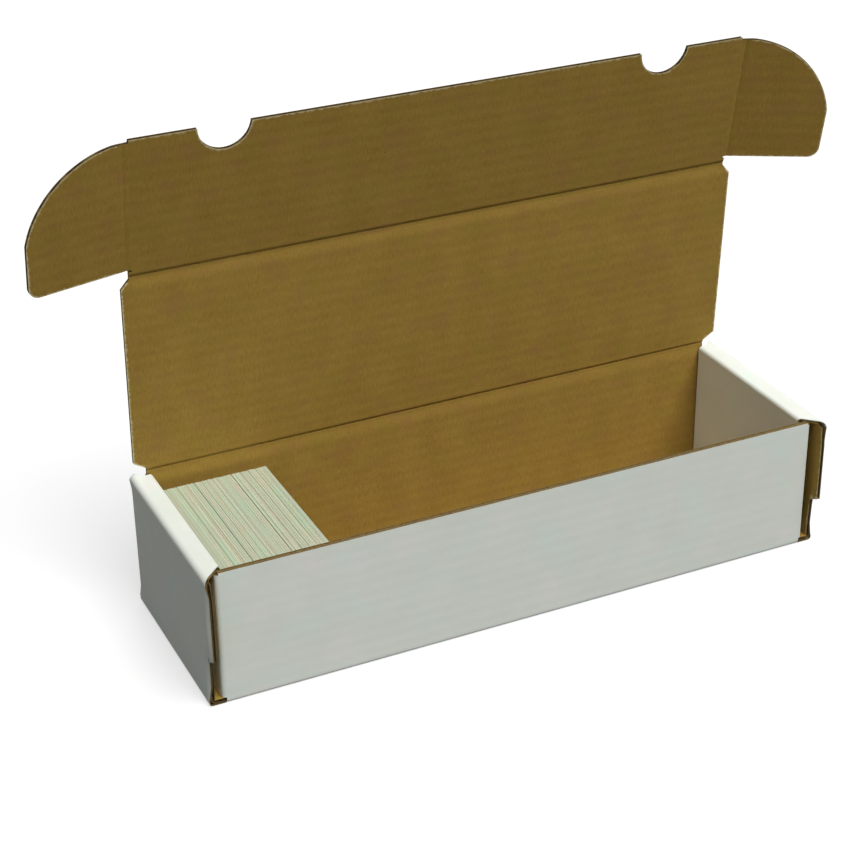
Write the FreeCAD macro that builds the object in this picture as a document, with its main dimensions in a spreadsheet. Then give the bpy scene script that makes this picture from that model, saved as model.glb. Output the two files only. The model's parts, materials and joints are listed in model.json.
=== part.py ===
"""A row box for cards, cut from one sheet of corrugated board and folded.

The box stands on its bottom panel. X runs along the row, Y from the front wall to the back
wall and Z up, and the origin is the middle of the underside. The lid is thrown open and leans
a little forward, with its front flap and its two ears nearly in line with it.
"""

import FreeCAD, Part
import Sketcher
import os
import re

# Driving sizes, in millimetres and degrees
SIZES = {
    "box_length": 346.0,
    "box_depth": 106.0,
    "front_height": 73.5,
    # thickness of the board, and of board squeezed flat in a rolled end
    "board": 3.0,
    "pressed_board": 1.8,
    # how far the rolled ends stand above the front wall
    "end_rise": 1.0,
    # free space: lid over ends, flap before the front wall, beside an ear, at a turning edge
    "lid_gap": 0.3,
    "flap_gap": 3.9,
    "ear_gap": 0.3,
    "fold_gap": 0.3,
    # free space: inner end panel to the walls, panels to the floor, lock tab to its slot
    "panel_gap": 0.8,
    "floor_gap": 0.2,
    "tab_gap": 0.3,
    # outside bends: a wall into its corner flap, and the two edges of a rolled end
    "corner_radius": 2.0,
    "ridge_outer_radius": 3.0,
    "ridge_inner_radius": 2.0,
    # lid panel: how far its ends stand back, and the cut corners at its root and tip
    "lid_side_inset": 2.0,
    "lid_root_cut": 4.0,
    "lid_tip_cut": 6.4,
    # front flap: height of its free edge over the ground when shut, and its thumb notches
    "flap_foot": 2.0,
    "notch_width": 27.0,
    "notch_depth": 12.8,
    "notch_inset": 49.7,
    # ears: reach, straight part of the outer edge, how far the top stands below the flap's
    # free edge, where the curve meets the top, its bulge
    "ear_reach": 50.4,
    "ear_drop": 1.6,
    "ear_straight": 32.4,
    "ear_crown": 5.2,
    "ear_bulge": 9.8,
    "ear_corner_radius": 6.0,
    # outer end panel: the wing that stands before the front wall
    "wing_reach": 6.0,
    "wing_foot": 29.0,
    "wing_step": 3.0,
    "wing_shoulder": 10.0,
    "foot_setback": 1.0,
    # slanted front edge of a rolled end: behind the front wall, and before it
    "ridge_setback": 3.0,
    "ridge_reach": 5.0,
    # corner flaps inside the rolled ends
    "corner_flap_reach": 42.0,
    "corner_flap_drop": 10.0,
    # lock tabs of the inner end panels
    "tab_width": 20.0,
    "tab_spacing": 50.0,
    # cards, and the gaps that part the three packs from each other and from the end
    "card_width": 88.9,
    "card_height": 63.5,
    "side_pack": 19.0,
    "middle_pack": 19.6,
    "pack_gap": 0.4,
    # how far each fold is from upright or from flat while the box stands open
    "lid_lean": 3.4,
    "flap_fold": 7.2,
    "left_ear_fold": 10.0,
    "right_ear_fold": 20.0,
}

# Sizes and places that follow from the driving ones
WORKED = {
    "half_length": "box_length / 2",
    "half_depth": "box_depth / 2",
    "half_board": "board / 2",
    "ear_slot": "board + 2 * ear_gap",
    # faces in a rolled end, from the outside in, and where the front and back walls end
    "outer_inside": "half_length - board",
    "corner_face": "outer_inside - ear_slot",
    "inner_outside": "corner_face - pressed_board",
    "inner_inside": "inner_outside - board",
    "wall_half": "corner_face - corner_radius",
    # faces from front to back
    "wall_inside": "half_depth - board",
    "panel_half": "wall_inside - panel_gap",
    "nib_half": "wall_inside + 0.8 * board",
    "trim_far": "half_depth + 2 * wing_reach",
    # heights
    "ridge_top": "front_height + end_rise",
    "ridge_under": "ridge_top - pressed_board",
    "outer_top": "ridge_top - ridge_outer_radius",
    "inner_top": "ridge_top - ridge_inner_radius",
    "flap_top": "ridge_under - ear_gap",
    "panel_foot": "board + floor_gap",
    # scored lines of the lid, the front flap and the ears
    "lid_axis_height": "ridge_top + lid_gap + half_board",
    "lid_axis_back": "half_depth - half_board",
    "lid_reach": "lid_axis_back + half_depth + flap_gap + half_board",
    "flap_height": "lid_axis_height - flap_foot",
    "ear_axis": "outer_inside - ear_gap - half_board",
    "ear_foot": "lid_axis_height - flap_top",
    "free_edge": "half_board + fold_gap",
    "flap_half": "ear_axis - half_board",
    "lid_half": "half_length - lid_side_inset",
    # middle of a thumb notch, and the chord of an ear's curved edge
    "notch_middle": "ear_axis - notch_inset",
    "ear_run": "ear_reach - ear_crown",
    "ear_top": "flap_height - ear_drop",
    "ear_rise": "ear_top - ear_straight",
    "ear_chord": "sqrt(ear_run ^ 2 + ear_rise ^ 2)",
    # the share of a radius by which a round corner's middle misses the sharp corner
    "round_off": "1 - sqrt(0.5)",
    # row of cards, against the left end
    "cards_left": "-inner_inside + pack_gap",
}

doc = FreeCAD.newDocument("row_box")


def fill_sheet(label, cells, text):
    """A sheet with a row for each size: its name, and its number or formula."""
    sheet = doc.addObject("Spreadsheet::Sheet", label)
    for row, (name, content) in enumerate(cells.items(), start=1):
        sheet.set(f"A{row}", name)
        sheet.set(f"B{row}", text(content))
        sheet.setAlias(f"B{row}", name)
    return sheet


def bind(formula):
    """The formula with the name of each size pointed at the sheet that holds it."""

    def sheet_name(found):
        word = found.group(0)
        if word in SIZES:
            return f"Sizes.{word}"
        if word in WORKED:
            return f"Worked.{word}"
        return word

    return re.sub(r"[a-z_]+", sheet_name, formula)


def fill_both_sheets():
    fill_sheet("Sizes", SIZES, str)
    worked = fill_sheet("Worked", WORKED, lambda formula: "=" + bind(formula))
    doc.recompute()
    return worked


worked_sheet = fill_both_sheets()


def worth(formula):
    """The number that a formula of named sizes comes to."""
    return float(worked_sheet.evalExpression(bind(formula)))


def point(across, up):
    return FreeCAD.Vector(worth(across), worth(up), 0)


def locate(sketch, geometry, end, across, up):
    """Hold one point of a sketch at a formula's distance from the sketch's origin."""
    for kind, formula in (("DistanceX", across), ("DistanceY", up)):
        held = Sketcher.Constraint(kind, -1, 1, geometry, end, worth(formula))
        number = sketch.addConstraint(held)
        sketch.setExpression(f"Constraints[{number}]", bind(formula))


def outline(body, name, plane, steps, height="0"):
    """A closed sketch on one of the body's origin planes, moved off it by a height.

    Each step is the next corner, across and up, or that corner and a point on the arc to it.
    """
    sketch = body.newObject("Sketcher::SketchObject", name)
    origin_plane = next(item for item in body.Origin.OriginFeatures if item.Role == plane)
    sketch.AttachmentSupport = [(origin_plane, "")]
    sketch.MapMode = "FlatFace"
    sketch.setExpression("AttachmentOffset.Base.z", bind(height))
    edges = []
    for before, step in zip([steps[-1]] + steps, steps):
        start = point(*before[:2])
        finish = point(*step[:2])
        if len(step) > 2:
            drawn = sketch.addGeometry(Part.Arc(start, point(*step[2:]), finish))
        else:
            drawn = sketch.addGeometry(Part.LineSegment(start, finish))
        forward = sketch.getPoint(drawn, 1).distanceToPoint(start) < 1e-6
        edges.append((drawn, 1, 2) if forward else (drawn, 2, 1))
    for edge, following, step in zip(edges, edges[1:] + edges[:1], steps):
        drawn, _, last = edge
        locate(sketch, drawn, last, step[0], step[1])
        meeting = Sketcher.Constraint("Coincident", drawn, last, following[0], following[1])
        sketch.addConstraint(meeting)
        if len(step) > 2:
            passed = sketch.addGeometry(Part.Point(point(*step[2:])), True)
            locate(sketch, passed, 1, step[2], step[3])
            sketch.addConstraint(Sketcher.Constraint("PointOnObject", passed, 1, drawn))
    return sketch


def new_body(label):
    body = doc.addObject("PartDesign::Body", label)
    body.Label = label
    return body


def pad(body, sketch, length, both_ways=False):
    feature = body.newObject("PartDesign::Pad", sketch.Name + "_pad")
    feature.Profile = sketch
    feature.setExpression("Length", bind(length))
    feature.Midplane = both_ways


def cut_through(body, sketch):
    """Cut a sketch's area out of the body, right through it on both sides of the sketch."""
    feature = body.newObject("PartDesign::Pocket", sketch.Name + "_cut")
    feature.Profile = sketch
    feature.Type = "ThroughAll"
    feature.Midplane = True


def move(across="0", along="0", up="0", axis="0; 0; 1", angle="0"):
    """One link of a chain of placements: a shift, then a turn at the place it leads to."""
    return f"placement(vector({across}; {along}; {up}); rotation(vector({axis}); {angle}))"


def place(item, *moves):
    item.setExpression("Placement", bind(" * ".join(moves)))


def bottom_panel():
    """The floor, with a nib at each corner and a slot for each of the four lock tabs."""
    body = new_body("bottom_panel")
    steps = []
    for x_side, y_side, order in ((1, -1, 1), (1, 1, -1), (-1, 1, 1), (-1, -1, -1)):
        corner = [
            (f"{x_side} * inner_outside", f"{y_side} * wall_inside"),
            (f"{x_side} * inner_outside", f"{y_side} * nib_half"),
            (f"{x_side} * outer_inside", f"{y_side} * nib_half"),
        ]
        steps += corner[::order]
    pad(body, outline(body, "floor_plan", "XY_Plane", steps), "board")
    for x_side, end in ((-1, "left"), (1, "right")):
        near = f"{x_side} * (inner_inside - tab_gap)"
        far = f"{x_side} * (inner_outside + tab_gap)"
        for y_side, place_name in ((-1, "front"), (1, "back")):
            low = f"{y_side} * tab_spacing / 2 - tab_width / 2 - tab_gap"
            high = f"{y_side} * tab_spacing / 2 + tab_width / 2 + tab_gap"
            slot = [(near, low), (far, low), (far, high), (near, high)]
            name = f"{place_name}_{end}_slot"
            cut_through(body, outline(body, name, "XY_Plane", slot))
    return body


def bottom_crease(label, plane, side, inner, outer, length):
    """A quarter round as thick as the board, from the floor's edge up to a panel's foot."""
    body = new_body(label)
    steps = [
        (f"{side} * {inner}", "board"),
        (f"{side} * {outer}", "board"),
        (f"{side} * {inner}", "0",
         f"{side} * ({outer} - board * round_off)", "board * round_off"),
    ]
    pad(body, outline(body, label + "_section", plane, steps), length, both_ways=True)
    return body


def wall(label, near, far, top):
    """A front or back wall, standing between the two corner bends."""
    body = new_body(label)
    steps = [("-wall_half", near), ("wall_half", near), ("wall_half", far), ("-wall_half", far)]
    plan = outline(body, label + "_plan", "XY_Plane", steps, height="board")
    pad(body, plan, f"{top} - board")
    return body


def hinge_crease(label, length, *moves):
    """A scored bend: square towards the panel that carries it, round towards the other.

    Its origin is the middle of the scored line, which runs along X.
    """
    body = new_body(label)
    steps = [
        ("half_board", "-half_board"),
        ("half_board", "0"),
        ("-half_board", "0", "0", "half_board"),
        ("-half_board", "-half_board"),
    ]
    pad(body, outline(body, label + "_section", "YZ_Plane", steps), length, both_ways=True)
    place(body, *moves)
    return body


def end_outer(label, side):
    """The outer end panel. Its upper part stands before the front wall as a wing."""
    body = new_body(label)
    steps = [
        ("-half_depth + foot_setback", "board"),
        ("half_depth", "board"),
        ("half_depth", "outer_top"),
        ("-half_depth - ridge_reach", "outer_top"),
        ("-half_depth - wing_reach", "outer_top - wing_shoulder"),
        ("-half_depth - wing_reach", "wing_foot"),
        ("-half_depth", "wing_foot - wing_step"),
    ]
    pad(body, outline(body, label + "_side", "YZ_Plane", steps), "board")
    place(body, move("outer_inside" if side > 0 else "-half_length"))
    return body


def end_ridge(label, side):
    """The strip that rolls over an end, from the outer panel to the inner one.

    Its front edge slants from behind the front wall to the tip of the wing, and its back
    edge makes way for the back wall.
    """
    body = new_body(label)
    steps = [
        (f"{side} * half_length", "outer_top"),
        (f"{side} * (half_length - ridge_outer_radius)", "ridge_top",
         f"{side} * (half_length - ridge_outer_radius * round_off)",
         "ridge_top - ridge_outer_radius * round_off"),
        (f"{side} * (inner_inside + ridge_inner_radius)", "ridge_top"),
        (f"{side} * inner_inside", "inner_top",
         f"{side} * (inner_inside + ridge_inner_radius * round_off)",
         "ridge_top - ridge_inner_radius * round_off"),
        (f"{side} * inner_outside", "inner_top"),
        (f"{side} * inner_outside", "ridge_under"),
        (f"{side} * outer_inside", "ridge_under"),
        (f"{side} * outer_inside", "outer_top"),
    ]
    section = outline(body, label + "_section", "XZ_Plane", steps)
    pad(body, section, "2 * trim_far", both_ways=True)
    front_trim = [
        (f"{side} * inner_inside", "-wall_inside + ridge_setback"),
        (f"{side} * half_length", "-half_depth - ridge_reach"),
        (f"{side} * half_length", "-trim_far"),
        (f"{side} * inner_inside", "-trim_far"),
    ]
    cut_through(body, outline(body, label + "_front_trim", "XY_Plane", front_trim))
    back_trim = [
        (f"{side} * inner_inside", "panel_half"),
        (f"{side} * corner_face", "panel_half"),
        (f"{side} * outer_inside", "half_depth"),
        (f"{side} * half_length", "half_depth"),
        (f"{side} * half_length", "trim_far"),
        (f"{side} * inner_inside", "trim_far"),
    ]
    cut_through(body, outline(body, label + "_back_trim", "XY_Plane", back_trim))
    return body


def end_inner(label, side):
    """The inner end panel, with two tabs that lock in the floor."""
    body = new_body(label)
    steps = [("-panel_half", "inner_top"), ("-panel_half", "panel_foot")]
    for y_side in (-1, 1):
        near = f"{y_side} * tab_spacing / 2 - tab_width / 2"
        far = f"{y_side} * tab_spacing / 2 + tab_width / 2"
        steps += [(near, "panel_foot"), (near, "floor_gap")]
        steps += [(far, "floor_gap"), (far, "panel_foot")]
    steps += [("panel_half", "panel_foot"), ("panel_half", "inner_top")]
    pad(body, outline(body, label + "_side", "YZ_Plane", steps), "board")
    place(body, move("inner_inside" if side > 0 else "-inner_outside"))
    return body


def corner_flap(label, x_side, y_side):
    """The bend at a wall's end and the flap behind it, squeezed flat in the rolled end."""
    body = new_body(label)
    turn = "corner_radius * round_off"
    free_end = f"{y_side} * (half_depth - corner_flap_reach)"
    steps = [
        (f"{x_side} * wall_half", f"{y_side} * half_depth"),
        (f"{x_side} * corner_face", f"{y_side} * (half_depth - corner_radius)",
         f"{x_side} * (corner_face - {turn})", f"{y_side} * (half_depth - {turn})"),
        (f"{x_side} * corner_face", free_end),
        (f"{x_side} * inner_outside", free_end),
        (f"{x_side} * inner_outside", f"{y_side} * wall_inside"),
        (f"{x_side} * wall_half", f"{y_side} * wall_inside"),
    ]
    plan = outline(body, label + "_plan", "XY_Plane", steps, height="panel_foot")
    pad(body, plan, "flap_top - panel_foot")
    taper = [
        (f"{y_side} * wall_inside", "flap_top"),
        (free_end, "flap_top - corner_flap_drop"),
        (free_end, "ridge_top"),
        (f"{y_side} * wall_inside", "ridge_top"),
    ]
    cut_through(body, outline(body, label + "_taper", "YZ_Plane", taper))
    return body


def lid_panel(*moves):
    """The lid, drawn upright over its scored line, with cut corners at root and tip."""
    body = new_body("lid_panel")
    right = [
        ("wall_half", "free_edge"),
        ("lid_half", "free_edge + lid_root_cut"),
        ("lid_half", "lid_reach - lid_tip_cut"),
        ("flap_half", "lid_reach - half_board"),
    ]
    left = [("-" + across, up) for across, up in reversed(right)]
    pad(body, outline(body, "lid_face", "XZ_Plane", right + left), "board", both_ways=True)
    place(body, *moves)
    return body


def lid_front_flap(*moves):
    """The front flap, drawn upright over its scored line, with two round thumb notches."""
    body = new_body("lid_front_flap")
    steps = [("flap_half", "free_edge"), ("flap_half", "flap_height")]
    for middle in ("notch_middle", "-notch_middle"):
        steps += [
            (f"{middle} + notch_width / 2", "flap_height"),
            (f"{middle} - notch_width / 2", "flap_height", middle, "flap_height - notch_depth"),
        ]
    steps += [("-flap_half", "flap_height"), ("-flap_half", "free_edge")]
    pad(body, outline(body, "flap_face", "XZ_Plane", steps), "board", both_ways=True)
    place(body, *moves)
    return body


def lid_ear(label, side, *moves):
    """A curved ear, drawn in line with the flap and outwards from its scored line."""
    body = new_body(label)
    turn = "ear_corner_radius * round_off"
    bulge_across = "(ear_reach + ear_crown) / 2 + ear_bulge * ear_rise / ear_chord"
    bulge_up = "(ear_top + ear_straight) / 2 + ear_bulge * ear_run / ear_chord"
    steps = [
        (f"{side} * free_edge", "ear_foot"),
        (f"{side} * (ear_reach - ear_corner_radius)", "ear_foot"),
        (f"{side} * ear_reach", "ear_foot + ear_corner_radius",
         f"{side} * (ear_reach - {turn})", f"ear_foot + {turn}"),
        (f"{side} * ear_reach", "ear_straight"),
        (f"{side} * ear_crown", "ear_top", f"{side} * ({bulge_across})", bulge_up),
        (f"{side} * free_edge", "ear_top"),
    ]
    pad(body, outline(body, label + "_face", "XZ_Plane", steps), "board", both_ways=True)
    place(body, *moves)
    return body


def card_pack(label, left, thickness):
    """One pack of standing cards, from its left face to the right."""
    pack = doc.addObject("Part::Box", label)
    pack.Label = label
    pack.setExpression("Length", bind(thickness))
    pack.setExpression("Width", bind("card_width"))
    pack.setExpression("Height", bind("card_height"))
    place(pack, move(left, "-card_width / 2", "board"))
    return pack


def tray():
    """The floor, the walls and the two rolled ends."""
    pieces = [
        bottom_panel(),
        wall("front_wall", "-half_depth", "-wall_inside", "front_height"),
        wall("back_wall", "wall_inside", "half_depth", "lid_axis_height - half_board"),
    ]
    for label, side in (("front", -1), ("back", 1)):
        pieces.append(bottom_crease(label + "_bottom_crease", "YZ_Plane", side,
                                    "wall_inside", "half_depth", "2 * wall_half"))
    for label, side in (("left", -1), ("right", 1)):
        pieces += [
            bottom_crease(label + "_bottom_crease", "XZ_Plane", side,
                          "outer_inside", "half_length", "2 * nib_half"),
            end_outer(label + "_end_outer", side),
            end_ridge(label + "_end_ridge", side),
            end_inner(label + "_end_inner", side),
            corner_flap(f"front_{label}_corner_flap", side, -1),
            corner_flap(f"back_{label}_corner_flap", side, 1),
        ]
    return pieces


def lid():
    """The lid, its front flap and the two ears, each turned about its scored line."""
    lid_line = move("0", "lid_axis_back", "lid_axis_height")
    to_lid = lid_line + " * " + move(axis="1; 0; 0", angle="lid_lean")
    flap_line = to_lid + " * " + move(up="lid_reach")
    to_flap = flap_line + " * " + move(axis="1; 0; 0", angle="flap_fold")
    pieces = [
        hinge_crease("lid_crease", "2 * wall_half", lid_line),
        lid_panel(to_lid),
        hinge_crease("front_flap_crease", "2 * flap_half", flap_line),
        lid_front_flap(to_flap),
    ]
    for label, side in (("left", -1), ("right", 1)):
        ear_line = to_flap + " * " + move(f"{side} * ear_axis")
        middle = move(up="(ear_foot + ear_top) / 2", axis="0; 1; 0", angle=f"{side * 90}")
        fold = move(angle=f"{-side} * {label}_ear_fold")
        pieces += [
            hinge_crease(label + "_ear_crease", "ear_top - ear_foot", ear_line, middle),
            lid_ear(label + "_lid_ear", side, ear_line, fold),
        ]
    return pieces


def cards():
    """Three packs of cards against the left end."""
    middle_left = "cards_left + side_pack + pack_gap"
    right_left = f"{middle_left} + middle_pack + pack_gap"
    return [
        card_pack("left_card_pack", "cards_left", "side_pack"),
        card_pack("middle_card_pack", middle_left, "middle_pack"),
        card_pack("right_card_pack", right_left, "side_pack"),
    ]


def check(pieces):
    """Stop if any object failed or any piece isn't one sound solid."""
    for item in doc.Objects:
        if "Invalid" in item.State or "Error" in item.State:
            raise RuntimeError(f"{item.Label}: {item.State}")
    for piece in pieces:
        shape = piece.Shape
        if shape.isNull() or not shape.isValid() or len(shape.Solids) != 1:
            raise RuntimeError(f"{piece.Label} isn't one valid solid")


def export(pieces):
    os.makedirs("parts", exist_ok=True)
    for piece in pieces:
        piece.Shape.exportStep(os.path.join("parts", piece.Label + ".step"))


all_pieces = tray() + lid() + cards()
doc.recompute()
check(all_pieces)
export(all_pieces)
print(len(all_pieces), "pieces")
for name in ("lid_axis_back", "lid_axis_height", "lid_reach", "ear_axis", "flap_height"):
    print(name, round(worth(name), 3))
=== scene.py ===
# %% [markdown]
# # A row box for cards, folded from corrugated board
# The box is one die-cut sheet: two liners, white outside and bare kraft inside, with a fluted
# paper between them. This lesson rebuilds each panel the way the board is made, so that every
# cut edge shows its flutes, and then bends the sheet at its scored lines.
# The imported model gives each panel's outline, place and joint, and everything is drawn round it.

# %% Load the frame
import bpy
import json
import math
import numpy as np
import random
from contextlib import contextmanager
from mathutils import Matrix, Vector


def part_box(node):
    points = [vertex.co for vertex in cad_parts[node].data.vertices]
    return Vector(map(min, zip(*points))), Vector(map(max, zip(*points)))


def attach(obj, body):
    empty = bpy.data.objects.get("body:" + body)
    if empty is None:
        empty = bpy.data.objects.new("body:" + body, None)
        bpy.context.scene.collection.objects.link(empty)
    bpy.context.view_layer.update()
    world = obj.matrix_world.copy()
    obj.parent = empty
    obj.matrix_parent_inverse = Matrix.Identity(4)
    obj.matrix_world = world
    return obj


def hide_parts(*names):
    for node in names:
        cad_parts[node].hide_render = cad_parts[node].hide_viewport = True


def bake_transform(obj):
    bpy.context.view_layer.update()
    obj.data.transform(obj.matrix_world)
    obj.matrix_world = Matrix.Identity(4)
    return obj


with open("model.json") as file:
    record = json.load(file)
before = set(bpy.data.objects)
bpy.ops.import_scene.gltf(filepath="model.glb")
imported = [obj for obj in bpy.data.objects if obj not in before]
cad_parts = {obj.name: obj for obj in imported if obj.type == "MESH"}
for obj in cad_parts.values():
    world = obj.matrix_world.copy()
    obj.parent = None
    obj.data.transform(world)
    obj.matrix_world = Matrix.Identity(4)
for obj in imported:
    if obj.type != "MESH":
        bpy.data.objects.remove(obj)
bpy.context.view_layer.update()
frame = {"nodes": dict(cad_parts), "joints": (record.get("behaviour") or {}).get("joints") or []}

MM = 0.001

# %% [markdown]
# ## Camera
# The photograph's straight edges fix where its camera stood: each edge of the box in the picture
# was matched with the same edge of the model. A long lens from a metre away gives that calm
# perspective. The camera is turned by plain angles, as a photographer would: round the table,
# down towards it, and a slight roll.

# %% Put the camera where the photographer stood
CAMERA_PLACE = Vector((-0.4148, -0.8205, 0.5780))
CAMERA_LENS = 86.13
CAMERA_SENSOR = 36.0
CAMERA_TURN = math.radians(24.98)
CAMERA_DOWN = math.radians(28.10)
CAMERA_ROLL = math.radians(-0.86)
RIGHT_ANGLE = math.pi / 2

bpy.ops.object.camera_add(location=CAMERA_PLACE)
camera = bpy.context.object
camera.name = "camera"
camera.data.lens = CAMERA_LENS
camera.data.sensor_width = CAMERA_SENSOR
aim = Matrix.Rotation(-CAMERA_TURN, 3, "Z") @ Matrix.Rotation(RIGHT_ANGLE - CAMERA_DOWN, 3, "X")
camera.rotation_euler = (aim @ Matrix.Rotation(CAMERA_ROLL, 3, "Z")).to_euler()
bpy.context.scene.camera = camera

# %% [markdown]
# ## Shader maths
# A procedural material is mostly sums on numbers and colours. Adding a Math node by hand for each
# sum is slow to read, so one small class wraps a node's output and teaches it the ordinary signs:
# an expression on wires adds its own nodes.

# %% Write shader maths as plain expressions


class Wire:
    """The output of a node, which adds a Math node for each sign it meets."""

    def __init__(self, recipe, socket):
        self.recipe = recipe
        self.socket = socket

    def _maths(self, operation, first, second=0.0):
        return self.recipe.add("Math", {"operation": operation}, {0: first, 1: second})

    def __getitem__(self, output):
        return Wire(self.recipe, self.socket.node.outputs[output])

    def __add__(self, other):
        return self._maths("ADD", self, other)

    def __sub__(self, other):
        return self._maths("SUBTRACT", self, other)

    def __mul__(self, other):
        return self._maths("MULTIPLY", self, other)

    def wave(self):
        return self._maths("SINE", self)


class Recipe:
    """The nodes of a material or a world, and one method that adds any node to them."""

    def __init__(self, owner, shader="Principled BSDF"):
        owner.use_nodes = True
        self.owner = owner
        self.nodes = owner.node_tree.nodes
        self.links = owner.node_tree.links
        self.shader = self.nodes[shader]

    def add(self, kind, settings=None, inputs=None):
        """Adds a node, sets it up, then fills or links its inputs. Gives its first live output."""
        node = self.nodes.new("ShaderNode" + kind)
        for name, value in (settings or {}).items():
            setattr(node, name, value)
        for key, value in (inputs or {}).items():
            self.feed(node, key, value)
        return Wire(self, next(output for output in node.outputs if output.enabled))

    def feed(self, node, key, value):
        """Links a wire to an input, or sets the input's own value."""
        if isinstance(key, str):
            socket = next(i for i in node.inputs if i.enabled and i.name == key)
        else:
            socket = node.inputs[key]
        if isinstance(value, Wire):
            self.links.new(value.socket, socket)
        else:
            socket.default_value = value

    def finish(self, **surface):
        """Feeds the shader's sockets, such as base_color, and gives the material or world."""
        for name, value in surface.items():
            self.feed(self.shader, name.replace("_", " ").title(), value)
        return self.owner

    def noise(self, where, scale, detail=2.0, stretch=None):
        """A soft random value over the surface, from 0 to 1. Stretch squeezes its axes."""
        if stretch is not None:
            where = self.add("VectorMath", {"operation": "MULTIPLY"}, {0: where, 1: stretch})
        return self.add("TexNoise", {}, {"Vector": where, "Scale": scale, "Detail": detail})

    def mix(self, share, first, second):
        """Goes from the first colour to the second as share goes from 0 to 1."""
        settings = {"data_type": "RGBA", "clamp_factor": True}
        return self.add("Mix", settings, {"Factor": share, "A": first, "B": second})

    def bump(self, height, distance=1.0):
        """Tilts the surface's light by a height, which is in metres for a distance of one."""
        return self.add("Bump", {}, {"Height": height, "Distance": distance})


def new_recipe(name):
    """A recipe for a new material."""
    return Recipe(bpy.data.materials.new(name))


# %% [markdown]
# ## Papers
# Three papers make the board. The outside is a white-topped liner, smooth and very slightly
# green in daylight, with faint cool and warm clouds. The inside is bare kraft: long wood fibres
# lie along the paper machine's direction, with reddish and greenish patches and a few dark specks.
# Near the die's cut edges the kraft is painted pale in ragged patches: partly torn fibre, partly a
# painted highlight where the rim catches the light. The flutes under both liners show
# as faint ribs. The fluting is a coarser, darker paper.
# Each sheet carries a flat map of its own surface, so the fibres follow a panel wherever it turns.
# The numbers named SCALE say how fine a random pattern is, per metre. In the sums below, the
# number taken off a pattern is the level where its patches begin, and the factor after it says
# how sharp their edges are.

# %% Mix the papers
WHITE_TOP = (0.800, 0.835, 0.760, 1.0)
WHITE_GREY = (0.745, 0.785, 0.710, 1.0)
WHITE_COOL = (0.740, 0.850, 0.780, 1.0)
WHITE_WARM = (0.840, 0.820, 0.780, 1.0)
WHITE_SHINE = 0.18
WHITE_ROUGHNESS = 0.70
WHITE_FIBRE_HEIGHT = 0.02 * MM
WHITE_CLOUD_SCALE = 38.0
WHITE_FIBRE_SCALE = 900.0
WHITE_COOL_SCALE = 31.0
WHITE_WARM_SCALE = 43.0
KRAFT_LIGHT = (0.339, 0.211, 0.031, 1.0)
KRAFT_DARK = (0.258, 0.151, 0.018, 1.0)
KRAFT_SPECK = (0.139, 0.078, 0.017, 1.0)
KRAFT_RED = (0.291, 0.144, 0.039, 1.0)
KRAFT_GREEN = (0.261, 0.187, 0.016, 1.0)
KRAFT_ROUGHNESS = 0.88
KRAFT_FIBRE_HEIGHT = 0.03 * MM
KRAFT_RIBS = 1.4
KRAFT_CLOUD_SCALE = 60.0
KRAFT_FIBRE_SCALE = 1100.0
KRAFT_FLECK_SCALE = 500.0
KRAFT_RED_SCALE = 75.0
KRAFT_GREEN_SCALE = 52.0
KRAFT_SPECK_SCALE = 620.0
FLUTE_LIGHT = (0.215, 0.145, 0.046, 1.0)
FLUTE_DARK = (0.105, 0.068, 0.020, 1.0)
FLUTE_ROUGHNESS = 0.92
FLUTE_FIBRE_HEIGHT = 0.06 * MM
FLUTE_FIBRE_SCALE = 700.0
WASHBOARD = 0.012 * MM
FLUTE_SHADE = 0.10
SHEET_MAP = "sheet"
# Pale kraft along the cut rims: partly torn fibre, partly a painted highlight.
TORN_HIGHLIGHT = "torn_highlight"
TORN_RIM_HIGHLIGHT = (0.620, 0.520, 0.270, 1.0)
TORN_HIGHLIGHT_SCALE = 420.0
FLUTE_PITCH = 6.8 * MM
FLUTE_TURN = 2 * math.pi / FLUTE_PITCH


def sheet_place(recipe):
    """The place on the flat sheet, in metres."""
    return recipe.add("UVMap", {"uv_map": SHEET_MAP})


def washboard(recipe, place):
    """How far the flutes under a liner lift it, in metres."""
    across = recipe.add("SeparateXYZ", {}, {0: place})["Y"]
    return (across * FLUTE_TURN).wave() * WASHBOARD


def white_liner():
    recipe = new_recipe("white_liner")
    place = sheet_place(recipe)
    clouds = recipe.noise(place, WHITE_CLOUD_SCALE, 3.0)
    fibres = recipe.noise(place, WHITE_FIBRE_SCALE, 2.0, (1.0, 0.35, 1.0))
    share = (clouds - 0.5) * 1.6 + (fibres - 0.5) * 0.5 + 0.5
    colour = recipe.mix(share, WHITE_GREY, WHITE_TOP)
    coolness = recipe.noise(place, WHITE_COOL_SCALE, 1.0)
    warmth = recipe.noise(place, WHITE_WARM_SCALE, 1.0)
    colour = recipe.mix((coolness - 0.50) * 3.0, colour, WHITE_COOL)
    colour = recipe.mix((warmth - 0.55) * 3.5, colour, WHITE_WARM)
    height = (fibres + clouds * 2.0) * WHITE_FIBRE_HEIGHT + washboard(recipe, place)
    recipe.feed(recipe.shader, "Specular IOR Level", WHITE_SHINE)
    return recipe.finish(base_color=colour, roughness=WHITE_ROUGHNESS, normal=recipe.bump(height))


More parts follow.
